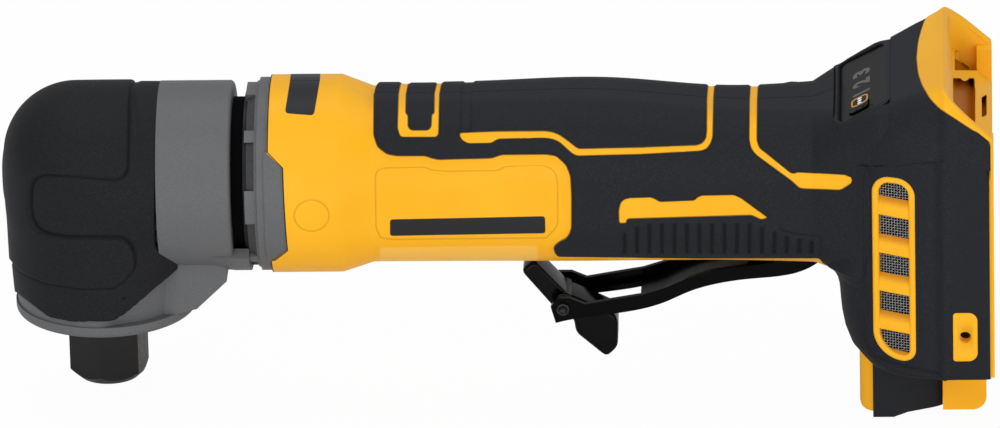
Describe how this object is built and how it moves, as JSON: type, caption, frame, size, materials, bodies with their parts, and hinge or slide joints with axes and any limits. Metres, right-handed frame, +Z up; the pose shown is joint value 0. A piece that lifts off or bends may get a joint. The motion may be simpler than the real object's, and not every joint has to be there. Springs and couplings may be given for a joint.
{
  "type": "cordless die grinder",
  "caption": "Cordless right-angle die grinder, bare tool: booted gear head with collet and nut, vented motor barrel, rubber grip with a locking paddle switch, and a slide-pack battery foot.",
  "frame": {"origin": "centre of the collet's mouth, on the spindle axis", "axes": "+Z up the spindle, away from the bit; +X from the head back to the battery foot; -Y is the left side, with the controls' near wall"},
  "size_m": [0.2872, 0.079, 0.1052],
  "materials": {
    "housing": "moulded yellow plastic, fine texture",
    "grip_rubber": "charcoal overmoulded rubber",
    "boot_rubber": "charcoal rubber boot",
    "case_metal": "cast, grey coated",
    "case_grey": "grey moulded plastic",
    "black_plastic": "black moulded plastic",
    "paddle": "smooth black plastic",
    "steel": "ground steel",
    "dark_steel": "black oxide steel",
    "laminations": "stacked laminations",
    "magnet": "plated magnet",
    "copper": "enamelled copper wire",
    "contact": "plated contact",
    "seal": "soft rubber",
    "board": "circuit board",
    "mesh": "fine metal screen",
    "display": "satin black panel",
    "button": "rubbery push button"
  },
  "bodies": {
    "housing": {"housing_left": "housing", "housing_right": "housing", "grip_rubber_left": "grip_rubber", "grip_rubber_right": "grip_rubber", "foot_pad": "grip_rubber", "foot_rubber_left": "grip_rubber", "foot_rubber_right": "grip_rubber", "gear_case": "case_metal", "head_boot": "boot_rubber", "bearing_plate": "black_plastic", "case_screws": "steel", "baffle_ring": "seal", "exhaust_collar": "case_grey", "spindle_top_bearing": "steel", "spindle_low_bearing": "steel", "motor_front_bearing": "steel", "motor_rear_bearing": "steel", "bearing_sleeve": "seal", "bearing_retainer": "dark_steel", "spindle_seal": "seal", "stator_core": "laminations", "stator_windings": "copper", "hall_board": "board", "control_module": "black_plastic", "control_board": "board", "switch_body": "black_plastic", "paddle_pin": "steel", "terminal_block": "black_plastic", "terminal_blades": "contact", "vent_screen_left": "mesh", "vent_screen_right": "mesh", "display_panel": "display", "housing_screws": "dark_steel"},
    "rotor": {"rotor_shaft": "steel", "rotor_races": "steel", "rotor_core": "laminations", "rotor_magnets": "magnet", "cooling_fan": "black_plastic", "drive_pinion": "dark_steel"},
    "spindle": {"spindle": "steel", "spindle_races": "steel", "driven_gear": "dark_steel"},
    "collet": {"collet": "steel"},
    "nut": {"collet_nut": "dark_steel"},
    "paddle": {"paddle_lever": "paddle", "lock_pin": "steel"},
    "lock": {"lock_lever": "black_plastic", "lock_spring": "steel"},
    "plunger": {"switch_plunger": "black_plastic"},
    "button": {"speed_button": "button"}
  },
  "joints": [
    {"name": "rotor_spin", "type": "hinge", "parent": "housing", "child": "rotor", "pos_m": [0.06, 0, 0.0622], "axis": [1, 0, 0], "continuous": true},
    {"name": "spindle_spin", "type": "hinge", "parent": "housing", "child": "spindle", "pos_m": [0, 0, 0.0622], "axis": [0, 0, 1], "continuous": true},
    {"name": "collet_slide", "type": "slide", "parent": "spindle", "child": "collet", "axis": [0, 0, -1], "range_m": [0, 0.002]},
    {"name": "nut_turn", "type": "hinge", "parent": "collet", "child": "nut", "pos_m": [0, 0, 0.008], "axis": [0, 0, -1], "range_deg": [0, 720]},
    {"name": "paddle_press", "type": "hinge", "parent": "housing", "child": "paddle", "pos_m": [0.203, 0, 0.0426], "axis": [0, 1, 0], "range_deg": [0, 5.5], "stiffness_Nm_per_rad": 2, "springref_deg": -8.59},
    {"name": "lock_lever_swing", "type": "hinge", "parent": "paddle", "child": "lock", "pos_m": [0.1332, 0, 0.0235], "axis": [0, -1, 0], "range_deg": [0, 38.5]},
    {"name": "plunger_slide", "type": "slide", "parent": "housing", "child": "plunger", "axis": [0, 0, 1], "range_m": [0, 0.0018]},
    {"name": "speed_button_push", "type": "slide", "parent": "housing", "child": "button", "axis": [0.4695, 0, -0.8829], "range_m": [0, 0.0005], "stiffness_N_per_m": 2000, "springref_m": -0.0005}
  ],
  "couplings": [
    {"joint": "spindle_spin", "follows": "rotor_spin", "ratio": 0.82353},
    {"joint": "nut_turn", "follows": "collet_slide", "rad_per_m": 6283.2},
    {"joint": "lock_lever_swing", "follows": "paddle_press", "ratio": 7},
    {"joint": "plunger_slide", "follows": "paddle_press", "m_per_rad": 0.015}
  ]
}
